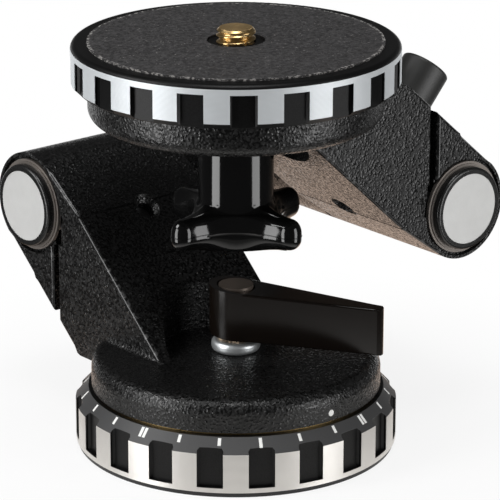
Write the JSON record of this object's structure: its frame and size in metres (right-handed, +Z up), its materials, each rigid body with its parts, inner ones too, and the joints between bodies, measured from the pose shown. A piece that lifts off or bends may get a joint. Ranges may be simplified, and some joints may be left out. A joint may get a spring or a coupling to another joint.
{
  "type": "leveling head",
  "caption": "Two axis camera leveling head: fluted panning base with lock lever, leaning split-clamp castings joined by an L link, and a round platform with a knob-driven camera screw.",
  "frame": {"origin": "centre of the base's underside, on the pan axis", "axes": "+Z up along the pan axis, X along the lower tilt axis with its badge at -X, Y along the upper tilt axis with its badge at -Y"},
  "size_m": [0.1112, 0.1112, 0.1057],
  "materials": {
    "casting_paint": "black wrinkle paint on cast alloy",
    "ring_anodised": "black anodised, lands turned bright",
    "plate_black": "black anodised",
    "steel_inner": "plain steel",
    "brass_bright": "turned",
    "brass_plain": "plain",
    "white_paint": "enamel fill",
    "zinc": "zinc plated",
    "washer_dark": "blackened",
    "screw_dark": "browned",
    "lever_black": "satin black",
    "knob_matte": "matte black",
    "shaft_alloy": "turned alloy",
    "end_ring": "dull grey brown",
    "cap_black": "semi gloss",
    "badge_silver": "matte silver",
    "pad_charcoal": "flecked friction pad",
    "knob_gloss": "high gloss"
  },
  "bodies": {
    "base": {"base_ring": "ring_anodised", "base_plate": "plate_black", "base_screws": "steel_inner", "tripod_bush": "brass_plain", "pan_washer": "brass_plain"},
    "pan_head": {"lower_casting": "casting_paint", "pan_bolt": "steel_inner", "index_dot": "white_paint", "lever_washer": "zinc", "lower_clamp_washer": "washer_dark"},
    "lever_core": {"lever_insert": "brass_bright", "lever_screw": "screw_dark", "lever_spring": "steel_inner"},
    "lever_handle": {"pan_lever": "lever_black"},
    "lower_clamp": {"lower_clamp_knob": "knob_matte", "lower_clamp_screw": "steel_inner"},
    "tilt_link": {"link_elbow": "casting_paint", "lower_tilt_shaft": "shaft_alloy", "upper_tilt_shaft": "shaft_alloy", "shaft_pins": "steel_inner", "lower_thrust_washer": "brass_plain", "upper_thrust_washer": "brass_plain", "lower_end_washer": "end_ring", "upper_end_washer": "end_ring", "lower_end_cap": "cap_black", "upper_end_cap": "cap_black", "lower_badge": "badge_silver", "upper_badge": "badge_silver", "lower_cap_screw": "steel_inner", "upper_cap_screw": "steel_inner"},
    "platform": {"upper_casting": "casting_paint", "platform_ring": "ring_anodised", "friction_pad": "pad_charcoal", "platform_screws": "steel_inner", "knob_washer": "washer_dark", "upper_clamp_washer": "washer_dark"},
    "upper_clamp": {"upper_clamp_knob": "knob_matte", "upper_clamp_screw": "steel_inner"},
    "camera_bolt": {"camera_screw": "brass_bright", "camera_knob": "knob_gloss", "screw_clip": "steel_inner"}
  },
  "joints": [
    {"name": "pan", "type": "hinge", "parent": "base", "child": "pan_head", "pos_m": [0, 0, 0.015], "axis": [0, 0, 1], "continuous": true},
    {"name": "lever_turn", "type": "hinge", "parent": "pan_head", "child": "lever_core", "pos_m": [0, 0, 0.03], "axis": [0, 0, 1], "range_deg": [-60, 40]},
    {"name": "lever_lift", "type": "slide", "parent": "lever_core", "child": "lever_handle", "axis": [0, 0, 1], "range_m": [0, 0.0025], "stiffness_N_per_m": 1500, "springref_m": -0.001, "deforming": ["lever_spring"]},
    {"name": "lower_clamp_turn", "type": "hinge", "parent": "pan_head", "child": "lower_clamp", "pos_m": [0, 0.04491, 0.04033], "axis": [0, 0.6587, -0.7524], "range_deg": [-30, 360]},
    {"name": "lower_tilt", "type": "hinge", "parent": "pan_head", "child": "tilt_link", "pos_m": [0, 0.05725, 0.05113], "axis": [-1, 0, 0], "range_deg": [-5, 90]},
    {"name": "upper_tilt", "type": "hinge", "parent": "tilt_link", "child": "platform", "pos_m": [0.05725, 0, 0.05367], "axis": [0, 1, 0], "range_deg": [-5, 90]},
    {"name": "upper_clamp_turn", "type": "hinge", "parent": "platform", "child": "upper_clamp", "pos_m": [0.04491, 0, 0.06447], "axis": [0.6587, 0, 0.7524], "range_deg": [-30, 360]},
    {"name": "camera_screw_turn", "type": "hinge", "parent": "platform", "child": "camera_bolt", "pos_m": [0, 0, 0.08], "axis": [0, 0, 1], "continuous": true}
  ]
}
